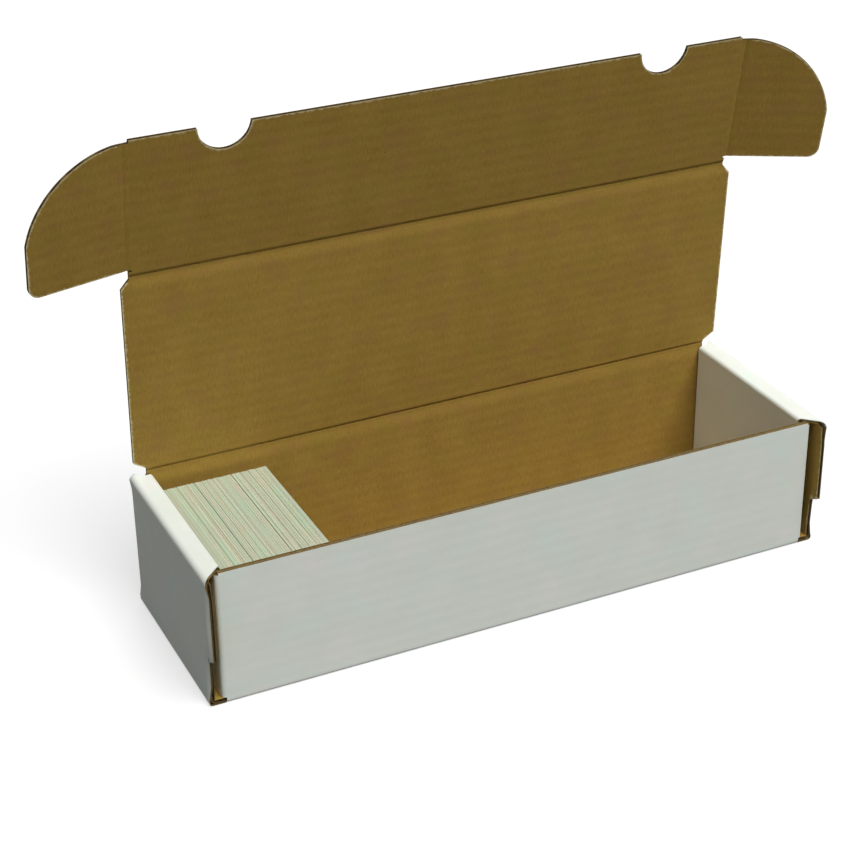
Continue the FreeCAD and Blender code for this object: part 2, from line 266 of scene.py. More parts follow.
def kraft_liner():
    recipe = new_recipe("kraft_liner")
    place = sheet_place(recipe)
    clouds = recipe.noise(place, KRAFT_CLOUD_SCALE, 4.0, (1.0, 0.6, 1.0))
    fibres = recipe.noise(place, KRAFT_FIBRE_SCALE, 3.0, (1.0, 0.25, 1.0))
    flecks = recipe.noise(place, KRAFT_FLECK_SCALE)
    ribs = washboard(recipe, place) * (FLUTE_SHADE / WASHBOARD)
    share = (clouds - 0.5) * 1.2 + (fibres - 0.5) * 1.6 + (flecks - 0.5) * 0.8 + 0.5 + ribs
    colour = recipe.mix(share, KRAFT_DARK, KRAFT_LIGHT)
    redness = recipe.noise(place, KRAFT_RED_SCALE)
    greenness = recipe.noise(place, KRAFT_GREEN_SCALE)
    colour = recipe.mix((redness - 0.52) * 2.2, colour, KRAFT_RED)
    colour = recipe.mix((greenness - 0.52) * 2.2, colour, KRAFT_GREEN)
    specks = recipe.noise(place, KRAFT_SPECK_SCALE, 0.0)
    colour = recipe.mix((specks - 0.86) * 14.0, colour, KRAFT_SPECK)
    # Pale cut rims in ragged patches: torn fibre and a painted highlight where the rim catches the
    # light.
    torn_highlight = recipe.add("Attribute", {"attribute_name": TORN_HIGHLIGHT})["Fac"]
    ragged_highlight = (recipe.noise(place, TORN_HIGHLIGHT_SCALE) - 0.50) * 2.2
    colour = recipe.mix((torn_highlight - 0.40 + ragged_highlight) * 2.4 * torn_highlight, colour, TORN_RIM_HIGHLIGHT)
    height = (fibres + clouds * 1.5) * KRAFT_FIBRE_HEIGHT + washboard(recipe, place) * KRAFT_RIBS
    return recipe.finish(base_color=colour, roughness=KRAFT_ROUGHNESS, normal=recipe.bump(height))


def flute_paper():
    recipe = new_recipe("flute_paper")
    place = recipe.add("TexCoord")["Object"]
    fibres = recipe.noise(place, FLUTE_FIBRE_SCALE, 3.0)
    colour = recipe.mix((fibres - 0.5) * 2.0 + 0.5, FLUTE_DARK, FLUTE_LIGHT)
    return recipe.finish(base_color=colour, roughness=FLUTE_ROUGHNESS,
                         normal=recipe.bump(fibres, FLUTE_FIBRE_HEIGHT))


WHITE = white_liner()
KRAFT = kraft_liner()
FLUTE = flute_paper()

# %% [markdown]
# ## Working in edit mode from a script
# Operators act on whatever is selected, and loading the frame leaves all its nodes selected. So
# every step starts by deselecting everything and picking one object. Modifiers are applied at
# once: a finished piece is plain mesh, with its object at the origin.

# %% Small helpers for objects and modifiers


def pick(obj):
    """Selects one object alone and makes it active."""
    if bpy.context.object and bpy.context.object.mode != "OBJECT":
        bpy.ops.object.mode_set(mode="OBJECT")
    bpy.ops.object.select_all(action="DESELECT")
    obj.select_set(True)
    bpy.context.view_layer.objects.active = obj
    return obj


def modify(obj, kind, **settings):
    """Adds a modifier with these settings and applies it."""
    pick(obj)
    modifier = obj.modifiers.new(kind.title(), kind)
    for name, value in settings.items():
        setattr(modifier, name, value)
    bpy.ops.object.modifier_apply(modifier=modifier.name)
    return obj


@contextmanager
def whole_mesh(obj):
    """Edit mode on one object, with all of its mesh selected."""
    pick(obj)
    bpy.ops.object.mode_set(mode="EDIT")
    bpy.ops.mesh.select_all(action="SELECT")
    yield
    bpy.ops.object.mode_set(mode="OBJECT")


def join(objects, name):
    """Joins objects into the first one and names it."""
    pick(objects[0])
    for obj in objects:
        obj.select_set(True)
    bpy.ops.object.join()
    objects[0].name = name
    return objects[0]


def points_of(obj):
    """All vertices of a mesh as one array of x, y, z."""
    flat = np.zeros(len(obj.data.vertices) * 3)
    obj.data.vertices.foreach_get("co", flat)
    return flat.reshape(-1, 3)


def set_points(obj, points):
    obj.data.vertices.foreach_set("co", np.asarray(points).ravel())
    obj.data.update()


# %% [markdown]
# ## The flat board
# A corrugated board is three papers. Each is drawn as a grid whose lines run where they are
# needed: closely round a scored line, and along the wave for the fluted paper. Solidify gives
# each paper its thickness. In the board's own frame the first axis is across, the second up, and
# the third points to the kraft side, with the middle of the board at zero.

# %% Make three papers into a board
front_low, front_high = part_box("front_wall")
BOARD = front_high.y - front_low.y
HALF = BOARD / 2
LINER = 0.35 * MM
FLUTE_THICKNESS = 0.22 * MM
LINER_HEIGHT = (BOARD - LINER) / 2
WAVE_SWING = HALF - LINER - FLUTE_THICKNESS / 2
COARSE_STEP = 12.0 * MM
FINE_STEP = 0.8 * MM
LEAST_STEP = 0.4 * FINE_STEP
FINE_REACH = 10.0 * MM
WAVE_PARTS = 12
SAME_PLACE = 0.001 * MM


def grid_lines(low, high, scores, step=COARSE_STEP):
    """Places for grid lines from low to high, which lie closer near the scores."""
    places = list(np.linspace(low, high, math.ceil((high - low) / step) + 1))
    for score in scores:
        near = max(low, score - FINE_REACH)
        far = min(high, score + FINE_REACH)
        if far > near:
            places += list(np.linspace(near, far, math.ceil((far - near) / FINE_STEP) + 1))
    places.sort()
    kept = [places[0]]
    for place in places[1:]:
        if place - kept[-1] > LEAST_STEP:
            kept.append(place)
    kept[-1] = high
    return kept


def grid(name, across, up):
    """A flat grid with its lines at the given places."""
    columns = len(across) - 1
    rows = len(up) - 1
    bpy.ops.mesh.primitive_grid_add(x_subdivisions=columns, y_subdivisions=rows, size=2)
    sheet = bpy.context.object
    sheet.name = name
    points = points_of(sheet)
    column = np.rint((points[:, 0] + 1) / 2 * columns).astype(int)
    row = np.rint((points[:, 1] + 1) / 2 * rows).astype(int)
    points[:, 0] = np.array(across)[column]
    points[:, 1] = np.array(up)[row]
    set_points(sheet, points)
    return sheet


def paper(sheet, heights, thickness, material):
    """Lifts a flat grid to its heights and gives it the paper's thickness and material."""
    points = points_of(sheet)
    points[:, 2] = heights(points)
    set_points(sheet, points)
    modify(sheet, "SOLIDIFY", thickness=thickness, offset=0.0)
    sheet.data.materials.append(material)
    return sheet


def three_papers(name, liner_lines, wave_lines, wave_axis):
    """The outside, middle and inside papers on their grid lines, waved along one axis."""
    def flutes(points):
        return WAVE_SWING * np.cos(points[:, wave_axis] * FLUTE_TURN)

    def liner(side, material, height):
        return paper(grid(name + side, *liner_lines), lambda points: height, LINER, material)

    outside = liner("_outside", WHITE, -LINER_HEIGHT)
    inside = liner("_inside", KRAFT, LINER_HEIGHT)
    middle = paper(grid(name + "_middle", *wave_lines), flutes, FLUTE_THICKNESS, FLUTE)
    return [outside, middle, inside]


def flat_board(name, low, high, flutes_up, columns, rows, fine_columns):
    """Three papers over a rectangle, as separate closed sheets: outside, middle and inside."""
    coarse = grid_lines(low[0], high[0], columns)
    across = grid_lines(low[0], high[0], [*columns, *fine_columns])
    up = grid_lines(low[1], high[1], rows)
    wave_axis = 0 if flutes_up else 1
    wave_lines = grid_lines(low[wave_axis], high[wave_axis], (), FLUTE_PITCH / WAVE_PARTS)
    lines = (wave_lines, up) if flutes_up else (coarse, wave_lines)
    return three_papers(name, (across, up), lines, wave_axis)


# %% [markdown]
# ## Cutting a panel out of the board
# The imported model's own panel is the cutting die: a copy of it, laid flat in the board's frame
# and made thicker, so that Boolean Intersect cuts all three papers with the same outline,
# slots and notches. Where a joint's bend takes over, the die is cut short with Bisect.

# %% Cut papers with a die
DIE_THICKENING = 3


def plane_of(origin, up, kraft):
    """The matrix that puts a flat board at its place, from its up and kraft-side directions."""
    up = Vector(up).normalized()
    kraft = Vector(kraft).normalized()
    turn = Matrix((up.cross(kraft), up, kraft)).transposed().to_4x4()
    return Matrix.Translation(Vector(origin)) @ turn


def merge(obj):
    """Merges the loose triangles of a copied CAD node into one closed surface."""
    with whole_mesh(obj):
        bpy.ops.mesh.remove_doubles(threshold=SAME_PLACE)


def die_from(node, plane):
    """A thickened copy of a CAD panel, laid flat in the board's frame."""
    die = bpy.data.objects.new(node + "_die", frame["nodes"][node].data.copy())
    bpy.context.scene.collection.objects.link(die)
    die.data.transform(plane.inverted())
    die.data.transform(Matrix.Diagonal((1, 1, DIE_THICKENING, 1)))
    merge(die)
    return die


def shorten(die, at, towards):
    """Cuts a die off at a plane and keeps the side that towards points to."""
    with whole_mesh(die):
        bpy.ops.mesh.bisect(plane_co=at, plane_no=towards, use_fill=True, clear_inner=True)


def prism(name, outline, low, high):
    """A straight-sided die from the corners of its plan: a ring of points, filled and raised."""
    bpy.ops.mesh.primitive_circle_add(vertices=len(outline), fill_type="NGON")
    die = bpy.context.object
    die.name = name
    set_points(die, [(across, up, low) for across, up in outline])
    with whole_mesh(die):
        bpy.ops.mesh.extrude_region_move(TRANSFORM_OT_translate={"value": (0, 0, high - low)})
        bpy.ops.mesh.select_all(action="SELECT")
        bpy.ops.mesh.normals_make_consistent(inside=False)
    return die


def cut(papers, die):
    """Cuts each paper with the die, then throws the die away."""
    for sheet in papers:
        modify(sheet, "BOOLEAN", operation="INTERSECT", solver="EXACT", object=die)
    bpy.data.objects.remove(die)


# %% [markdown]
# ## Scored lines
# A scored line is pressed into the board before it is folded. It crushes the flutes for some
# millimetres below the line and barely above it, so the kraft face sinks slowly towards the
# crease, catches the light there, and rises steeply behind it. The outside face stays flat. The
# lines of the ears are pressed more softly. Every panel is pressed by the same rule, which lets a
# bend carry on from it without a step.

# %% Press the scores
SCORE_DEPTH = 0.75 * MM
REACH_BELOW = 4.2 * MM
REACH_ABOVE = 0.9 * MM
CREASE_DEPTH = 0.35 * MM
CREASE_REACH = 0.5 * MM
SOFT_SHARE = 0.3
RIM_DEPTH = 1.2 * MM
RIM_REACH = 1.8 * MM
RIM_FADE = 6.0 * MM
# How far the pale rim of torn fibre and painted highlight reaches from a cut edge.
TORN_HIGHLIGHT_REACH = 1.0 * MM


def press_depth(distance, soft=False):
    """How deep the kraft face lies above or below a scored line, or beside a soft one."""
    reach = REACH_ABOVE if soft else np.where(distance < 0, REACH_BELOW, REACH_ABOVE)
    wide = SCORE_DEPTH * np.exp(-(distance / reach) ** 2)
    depth = wide + CREASE_DEPTH * np.exp(-(distance / CREASE_REACH) ** 2)
    return depth * SOFT_SHARE if soft else depth


def press(obj, columns=(), rows=(), soft=False):
    """Squeezes a flat board towards its outside face near its scored lines."""
    points = points_of(obj)
    depth = np.zeros(len(points))
    for column in columns:
        depth = np.maximum(depth, press_depth(points[:, 0] - column, soft=True))
    for row in rows:
        depth = np.maximum(depth, press_depth(points[:, 1] - row, soft))
    points[:, 2] = (points[:, 2] + HALF) * (BOARD - depth) / BOARD - HALF
    set_points(obj, points)


def rim_of(die, kept):
    """The corners of a flat die's cut outline, as pairs of points, where kept says they count."""
    corners = points_of(die)
    top = corners[:, 2].max()
    pairs = []
    for face in die.data.polygons:
        high = [corner for corner in face.vertices if corners[corner][2] > top - SAME_PLACE]
        if abs(face.normal.z) < OUTWARD and len(high) == 2:
            middle = corners[high].mean(axis=0)
            if kept(middle[0], middle[1]):
                pairs.append(corners[high][:, :2])
    return np.array(pairs)


def rim_distance(points, rim):
    """How far each point is from the nearest part of a cut outline."""
    nearest = np.full(len(points), np.inf)
    for start, end in rim:
        along = end - start
        share = np.clip((points[:, :2] - start) @ along / (along @ along), 0, 1)
        gap = np.linalg.norm(points[:, :2] - start - share[:, None] * along, axis=1)
        nearest = np.minimum(nearest, gap)
    return nearest


def draw_in(obj, depth):
    """Presses the outside face in by a depth at each point, and leaves the kraft face."""
    points = points_of(obj)
    points[:, 2] = HALF - (HALF - points[:, 2]) * (BOARD - depth) / BOARD
    set_points(obj, points)


def crush(obj, distance, kept=1.0):
    """Presses the outside face in along cut edges, as the die's rule does when it cuts."""
    draw_in(obj, RIM_DEPTH * np.exp(-(distance / RIM_REACH) ** 2) * kept)


# %% [markdown]
# ## Finishing a board
# The three cut papers become one piece. Only the faces that look out of the board are liner
# surfaces, and the cut edges show bare paper. The flat map is laid while the panel is still flat:
# it runs along the flutes first and across them second, the way the paper left its machine.

# %% Join the papers, lay the map and put the board in place
SMOOTH_ANGLE = math.radians(35)
OUTWARD = 0.7
map_shift = random.Random(5)


def lay_map(obj, flutes_up=False):
    """Maps the flat sheet in metres, first along the flutes, then across them."""
    shift = np.array([map_shift.uniform(0, 3), map_shift.randrange(60) * FLUTE_PITCH])
    corners = np.zeros(len(obj.data.loops), dtype=int)
    obj.data.loops.foreach_get("vertex_index", corners)
    flat = points_of(obj)[corners][:, [1, 0] if flutes_up else [0, 1]]
    layer = obj.data.uv_layers.get(SHEET_MAP) or obj.data.uv_layers.new(name=SHEET_MAP)
    layer.data.foreach_set("uv", (flat + shift).ravel())


def bare_edges(sheet, side):
    """Keeps the liner's finish on the face that looks out, and bares the other faces."""
    sheet.data.materials.append(FLUTE)
    for face in sheet.data.polygons:
        if face.normal.z * side < OUTWARD:
            face.material_index = 1


def finish_board(name, papers, flutes_up):
    """One flat piece from its three papers, mapped and smooth where it is rounded."""
    outside, _, inside = papers
    bare_edges(outside, -1)
    bare_edges(inside, 1)
    board = join(papers, name)
    for layer in list(board.data.uv_layers):
        board.data.uv_layers.remove(layer)
    lay_map(board, flutes_up)
    pick(board)
    bpy.ops.object.shade_smooth_by_angle(angle=SMOOTH_ANGLE)
    return board


def install(obj, body, nodes):
    """The piece rides on its body and stands for its CAD nodes."""
    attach(obj, body)
    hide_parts(*nodes)
    print(obj.name, "has", len(obj.data.polygons), "faces")


def panel(node, plane, body, trims=(), columns=(), rows=(), fine_columns=(), fine_rows=(),
          cut_edges=None, flutes_up=False, soft=False, fade=False):
    """Cuts one panel out of flat board, presses its scores and stands it in its place."""
    die = die_from(node, plane)
    rim = rim_of(die, cut_edges) if cut_edges else ()
    for at, towards in trims:
        shorten(die, at, towards)
    points = points_of(die)
    low = points.min(axis=0) - BOARD
    high = points.max(axis=0) + BOARD
    papers = flat_board(node, low, high, flutes_up, columns, [*rows, *fine_rows], fine_columns)
    cut(papers, die)
    board = finish_board(node + "_board", papers, flutes_up)
    press(board, columns, rows, soft=soft)
    if len(rim):
        points = points_of(board)
        distance = rim_distance(points, rim)
        ends = np.minimum(points[:, 1] - points[:, 1].min(), points[:, 1].max() - points[:, 1])
        crush(board, distance, np.clip(ends / RIM_FADE, 0, 1) if fade else 1.0)
        # Marks the pale rim near the cut edges, partly torn fibre and partly painted highlight.
        torn_highlight = board.data.attributes.new(TORN_HIGHLIGHT, "FLOAT", "POINT")
        torn_highlight.data.foreach_set("value", np.exp(-(distance / TORN_HIGHLIGHT_REACH) ** 2))
    board.data.transform(plane)
    install(board, body, [node])


# %% [markdown]
# ## The tray's panels
# The bottom lies with its kraft face up. The walls stand with theirs inwards, and the end panels
# too, but the inner end panels have rolled over the ridge, so their white face looks into the
# box. Their flutes stand upright, because the whole blank is cut from one direction of board.

# %% Cut the bottom, the walls and the end panels
X_AXIS = Vector((1, 0, 0))
Y_AXIS = Vector((0, 1, 0))
Z_AXIS = Vector((0, 0, 1))
joints = {joint["name"]: joint for joint in frame["joints"]}
lid_axis = Vector(joints["lid_hinge"]["pos_m"])
CREASE_REACH_OUT = 3.0 * MM
END_SETBACK = 4.0 * MM


def middle_of(node):
    """The middle of a CAD node's box."""
    low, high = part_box(node)
    return (low + high) / 2


panel("bottom_panel", plane_of(middle_of("bottom_panel"), Y_AXIS, Z_AXIS), "box")
wall_middle = middle_of("front_wall")
panel("front_wall", plane_of((0, wall_middle.y, 0), Z_AXIS, Y_AXIS), "box")
panel("back_wall", plane_of((0, lid_axis.y, 0), Z_AXIS, -Y_AXIS), "box",
      trims=[((0, lid_axis.z - CREASE_REACH_OUT, 0), (0, -1, 0))], rows=[lid_axis.z])
for side, direction in (("left", 1), ("right", -1)):
    outer = middle_of(side + "_end_outer")
    inner = middle_of(side + "_end_inner")
    panel(side + "_end_outer", plane_of((outer.x, 0, 0), Z_AXIS, X_AXIS * direction), "box",
          flutes_up=True, fine_columns=(front_low.y, -front_low.y),
          cut_edges=lambda across, up: abs(across) > -front_low.y - END_SETBACK, fade=True)
    panel(side + "_end_inner", plane_of((inner.x, 0, 0), Z_AXIS, -X_AXIS * direction), "box",
          flutes_up=True)

# %% [markdown]
# ## The lid, its front flap and the ears
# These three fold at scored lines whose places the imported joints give. The lid leans a little
# over the box, the flap leans a little more, and the ears turn towards the front. Each panel
# stops three millimetres before a scored line, where the bend begins.

# %% Cut the lid, the front flap and the ears


def reach_along(node, plane, axis=0):
    """How far a CAD node reaches along one axis of a board's frame."""
    points = [(plane.inverted() @ vertex.co)[axis] for vertex in frame["nodes"][node].data.vertices]
    return min(points), max(points)


flap_axis = Vector(joints["front_flap_hinge"]["pos_m"])
lid_up = (flap_axis - lid_axis).normalized()
lid_kraft = X_AXIS.cross(lid_up)
lid_length = (flap_axis - lid_axis).length
flap_up = Vector(joints["left_ear_fold"]["axis"])
flap_kraft = X_AXIS.cross(flap_up)
LID_LEAN = math.asin(-lid_up.y)
FLAP_FOLD = math.asin(-flap_up.y) - LID_LEAN
EARS = {
    side: {
        "axis": Vector(joints[side + "_ear_fold"]["pos_m"]),
        "fold": math.radians(-joints[side + "_ear_fold"]["range_deg"][0]),
        "outwards": X_AXIS * direction,
    }
    for side, direction in (("left", -1), ("right", 1))
}
ear_reach = abs(EARS["left"]["axis"].x)
wall_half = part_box("back_wall")[1].x
lid_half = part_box("lid_panel")[1].x
flap_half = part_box("lid_front_flap")[1].x
flap_top = reach_along("lid_front_flap", plane_of(flap_axis, flap_up, flap_kraft), 1)[1]
NOTCH_DEPTH = 12.8 * MM
NOTCH_MIDDLE = 118.5 * MM
NOTCH_HALF = 13.5 * MM
NOTCH_COLUMNS = [side * (NOTCH_MIDDLE + edge) for side in (-1, 1)
                 for edge in (-NOTCH_HALF, 0, NOTCH_HALF)]
EAR_COLUMNS = np.arange(-75, 76, 15) * MM
EAR_ROWS = np.arange(5, 60, 15) * MM
print("the lid leans", round(math.degrees(LID_LEAN), 2), "degrees, and the flap folds",
      round(math.degrees(FLAP_FOLD), 2), "more")

panel("lid_panel", plane_of(lid_axis, lid_up, lid_kraft), "lid",
      trims=[((0, CREASE_REACH_OUT, 0), (0, 1, 0)),
             ((0, lid_length - CREASE_REACH_OUT, 0), (0, -1, 0))],
      rows=[0, lid_length], fine_columns=(-lid_half, lid_half),
      cut_edges=lambda across, up: abs(across) > lid_half / 2)
panel("lid_front_flap", plane_of(flap_axis, flap_up, flap_kraft), "front_flap",
      trims=[((0, CREASE_REACH_OUT, 0), (0, 1, 0)),
             ((CREASE_REACH_OUT - ear_reach, 0, 0), (1, 0, 0)),
             ((ear_reach - CREASE_REACH_OUT, 0, 0), (-1, 0, 0))],
      rows=[0], columns=[-ear_reach, ear_reach],
      fine_columns=NOTCH_COLUMNS, fine_rows=(flap_top, flap_top - NOTCH_DEPTH),
      cut_edges=lambda across, up: up > flap_top / 2 and abs(across) < flap_half - SAME_PLACE)
for side, ear in EARS.items():
    out = ear["outwards"]
    ear_out = out * math.cos(ear["fold"]) + flap_kraft * math.sin(ear["fold"])
    ear_kraft = flap_kraft * math.cos(ear["fold"]) - out * math.sin(ear["fold"])
    panel(side + "_lid_ear", plane_of(ear["axis"], ear_out, ear_kraft), side + "_ear",
          trims=[((0, CREASE_REACH_OUT, 0), (0, 1, 0))], rows=[0],
          flutes_up=True, soft=True, fine_columns=EAR_COLUMNS, fine_rows=EAR_ROWS,
          cut_edges=lambda across, up: up > CREASE_REACH_OUT)

# %% [markdown]
# ## Bends that move
# The lid, flap and ears swing on scored bends. Such a bend isn't a hinge but the same board,
# crushed and bent, so each is a strip of three papers from three millimetres before the scored
# line to three millimetres after it. The strip is drawn flat, pressed and bent to the pose of the
# photograph. Its outside paper is drawn in a little along the line, since it takes the short way
# round when it folds.

# %% Bend a strip of board at a joint
STRIP_STEP = 0.3 * MM
DRAWN_DEPTH = 0.45 * MM
DRAWN_REACH = 1.7 * MM


def smoothstep(share):
    share = np.clip(share, 0, 1)
    return share * share * (3 - 2 * share)


def moving_bend(node, plane, fold, outline, flutes_up=False):
    """A strip of board over a scored line, wide as outline says at each place across it."""
    reach = CREASE_REACH_OUT
    low, high = reach_along(node, plane)
    up = np.linspace(-reach, reach, math.ceil(2 * reach / STRIP_STEP) + 1)
    across = grid_lines(low, high, (low, high))
    waves = grid_lines(low, high, (), FLUTE_PITCH / WAVE_PARTS)
    name = node + "_bend"
    lines = (waves if flutes_up else across, up)
    papers = three_papers(name, (across, up), lines, 0 if flutes_up else 1)
    bend = finish_board(name, papers, flutes_up)
    press(bend, rows=[0], soft=flutes_up)
    points = points_of(bend)
    crush(bend, np.minimum(points[:, 0] - low, high - points[:, 0]))
    draw_in(bend, DRAWN_DEPTH * np.exp(-(points[:, 1] / DRAWN_REACH) ** 2))
    points = points_of(bend)
    middle = (low + high) / 2
    points[:, 0] = middle + (points[:, 0] - middle) * outline(points[:, 1])
    angle = fold * smoothstep((points[:, 1] + reach) / (2 * reach))
    up_now = points[:, 1] * np.cos(angle) - points[:, 2] * np.sin(angle)
    points[:, 2] = points[:, 1] * np.sin(angle) + points[:, 2] * np.cos(angle)
    points[:, 1] = up_now
    set_points(bend, points)
    bend.data.transform(plane)
    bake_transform(bend)
    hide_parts(node)
    print(bend.name, "has", len(bend.data.polygons), "faces")


LID_ROOT = (1.8 * MM, 5.8 * MM)
LID_TIP = (-6.4 * MM, -1.5 * MM)


def lid_root_width(up):
    """The lid's root widens towards the lid from just past the scored line."""
    return np.interp(up, LID_ROOT, (wall_half, lid_half)) / wall_half


def lid_tip_width(up):
    """The lid's tip narrows to the flap's width just before the scored line."""
    return np.interp(up, LID_TIP, (lid_half, flap_half)) / flap_half


def straight_sides(up):
    return np.ones(len(up))


moving_bend("lid_crease", plane_of(lid_axis, Z_AXIS, -Y_AXIS), LID_LEAN, lid_root_width)
moving_bend("front_flap_crease", plane_of(flap_axis, lid_up, lid_kraft), FLAP_FOLD, lid_tip_width)
for side, ear in EARS.items():
    moving_bend(side + "_ear_crease", plane_of(ear["axis"], ear["outwards"], flap_kraft),
                ear["fold"], straight_sides, flutes_up=True)

# %% [markdown]
# ## Bends that stay
# Along the bottom and over the two ends the board is bent for good. Each paper of such a bend
# follows its own path: the outside paper runs round in a smooth curve, the kraft paper turns
# sharply, and the fluted paper is crushed between them. A grid is laid along the path with its
# rows running along the bend, and a wave is pressed into the middle paper where its flutes run
# round the bend.

# %% Lay papers along a path
ARC_STEPS = 8
NEEDLE = 0.01 * MM


def arc(centre, radius, start, end, steps=ARC_STEPS):
    """Points on an arc between two angles in degrees."""
    angles = np.radians(np.linspace(start, end, steps + 1))
    return [(centre[0] + radius * math.cos(a), centre[1] + radius * math.sin(a)) for a in angles]


def along_bend(origin, outwards, up):
    """The frame of a bend: first axis outwards, second along the bend, third up."""
    outwards = Vector(outwards)
    up = Vector(up)
    turn = Matrix((outwards, up.cross(outwards), up)).transposed().to_4x4()
    return Matrix.Translation(Vector(origin)) @ turn


def bent_paper(name, path, low, high, thickness, material, swing=0.0):
    """One paper laid along a path, with flutes that run round the bend if it swings."""
    path = np.array(path)
    rows = grid_lines(low, high, (), FLUTE_PITCH / WAVE_PARTS if swing else COARSE_STEP)
    sheet = grid(name, np.arange(len(path)), rows)
    points = points_of(sheet)
    place = np.rint(points[:, 0]).astype(int)
    slope = np.gradient(path, axis=0)
    slope /= np.linalg.norm(slope, axis=1)[:, None]
    normal = np.stack([-slope[:, 1], slope[:, 0]], axis=1)
    lift = swing * np.cos(points[:, 1] * FLUTE_TURN)
    flat = path[place] + normal[place] * lift[:, None]
    lengths = np.concatenate([[0], np.cumsum(np.linalg.norm(np.diff(path, axis=0), axis=1))])
    points[:, 0] = lengths[place]
    set_points(sheet, points)
    lay_map(sheet)
    points[:, 0] = flat[:, 0]
    points[:, 2] = flat[:, 1]
    set_points(sheet, points)
    modify(sheet, "SOLIDIFY", thickness=thickness, offset=0.0)
    sheet.data.materials.append(material)
    return sheet


def bent_board(node, outside, middle, inside, ends, swing):
    """The three papers of a bend, each along its own path."""
    return [
        bent_paper(node + "_outside", outside, *ends, LINER, WHITE),
        bent_paper(node + "_middle", middle, *ends, FLUTE_THICKNESS, FLUTE, swing),
        bent_paper(node + "_inside", inside, *ends, LINER, KRAFT),
    ]


def bare_rims(sheet, open_side):
    """Bares every face of a bent paper but those that look the open way."""
    sheet.data.materials.append(FLUTE)
    for face in sheet.data.polygons:
        if not open_side(face):
            face.material_index = 1


def drop_needles(obj):
    """Leaves the mesh in triangles, without the needle-thin ones that a cut can make."""
    with whole_mesh(obj):
        bpy.ops.mesh.quads_convert_to_tris(quad_method="BEAUTY", ngon_method="BEAUTY")
        bpy.ops.mesh.dissolve_degenerate(threshold=NEEDLE)


def finish_bend(node, papers, plane, body, needles=False):
    """Joins the papers of a bend and puts it in its place."""
    bend = join(papers, node + "_bend")
    if needles:
        drop_needles(bend)
    pick(bend)
    bpy.ops.object.shade_smooth_by_angle(angle=SMOOTH_ANGLE)
    bend.data.transform(plane)
    install(bend, body, [node])


def looks_round(face):
    """Whether a face looks away round a bend, and not along it."""
    return abs(face.normal.y) < OUTWARD


def looks_from(centre):
    """Whether a face of a rolled paper looks away from a line along the bend."""
    def outside(face):
        away = Vector((face.center.x - centre[0], 0, face.center.z - centre[1]))
        return face.normal.dot(away.normalized()) > OUTWARD
    return outside


# %% [markdown]
# ## The four bends along the bottom
# From outside they show as round white edges. Under the front and back walls the flutes lie
# along the bend, so the crushed paper waves across it. Under the end panels they run round it.

# %% Bend the board up from the bottom
BOTTOM_RADIUS = 1.5 * MM
SHARP_RADIUS = 0.3 * MM
CRUSHED_WAVES = 1.5
CRUSHED_SWING = 0.6 * MM
CRUSHED_PARTS = 12
ROUND_SWING = 0.7 * MM


def bottom_bend(node, outwards, flutes_round):
    """One bend along the bottom, with flutes that lie along it or run round it."""
    low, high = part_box(node)
    edge = Vector(outwards) * (min(abs(low.dot(outwards)), abs(high.dot(outwards))))
    plane = along_bend(edge, outwards, Z_AXIS)
    ends = reach_along(node, plane, 1)
    centre = (0, BOARD)
    skin = LINER / 2
    turn = BOTTOM_RADIUS - skin
    round_path = [(0, skin)] + arc((BOARD - BOTTOM_RADIUS, BOTTOM_RADIUS), turn, -90, 0)
    round_path += [(BOARD - skin, BOARD)]
    sharp_path = arc(centre, SHARP_RADIUS, -90, 0, 3)
    if flutes_round:
        crushed = arc(centre, HALF, -90, 0)
    else:
        turns = np.linspace(0, 1, CRUSHED_PARTS + 1)
        radii = HALF + CRUSHED_SWING * np.sin(turns * CRUSHED_WAVES * 2 * math.pi)
        angles = np.radians(90 * turns - 90)
        crushed = list(zip(radii * np.cos(angles), BOARD + radii * np.sin(angles)))
    swing = ROUND_SWING if flutes_round else 0.0
    papers = bent_board(node, round_path, crushed, sharp_path, ends, swing)
    bare_rims(papers[0], looks_from(centre))
    finish_bend(node, papers, plane, "box")


for node, outwards, flutes_round in (
        ("front_bottom_crease", -Y_AXIS, False), ("back_bottom_crease", Y_AXIS, False),
        ("left_bottom_crease", -X_AXIS, True), ("right_bottom_crease", X_AXIS, True)):
    bottom_bend(node, outwards, flutes_round)

# %% [markdown]
# ## The rolled ridges
# Each end panel rolls over at the top and goes down again inside. The board is squeezed thinner
# over the top, the outer edge stays rounder than the inner one, and the front of the roll is cut
# at a slant, so that its three papers show.

# %% Roll the board over each end
RIDGE_OUTER = 3.0 * MM
RIDGE_INNER = 2.0 * MM
RIDGE_BOARD = 1.8 * MM
half_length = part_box("right_end_outer")[1].x
half_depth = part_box("back_wall")[1].y
inner_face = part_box("right_end_inner")[0].x
panel_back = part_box("right_end_inner")[1].y
flap_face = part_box("front_right_corner_flap")[1].x
RIDGE_SETBACK = 3.0 * MM
RIDGE_REACH = 5.0 * MM
RIDGE_SWING = 0.30 * MM
RIDGE_CORE = 1.2 * MM
RIDGE_CORE_INSET = 2.2 * MM
KRAFT_OUTER = 0.5 * MM
KRAFT_INNER = 0.2 * MM


def ridge_plan(side):
    """The ridge from above: a slanted front edge, and a back edge that clears the wall."""
    corners = [
        (inner_face, BOARD - half_depth + RIDGE_SETBACK),
        (half_length, -half_depth - RIDGE_REACH),
        (half_length, half_depth),
        (half_length - BOARD, half_depth),
        (flap_face, panel_back),
        (inner_face, panel_back),
    ]
    return [(side * across, up) for across, up in corners]


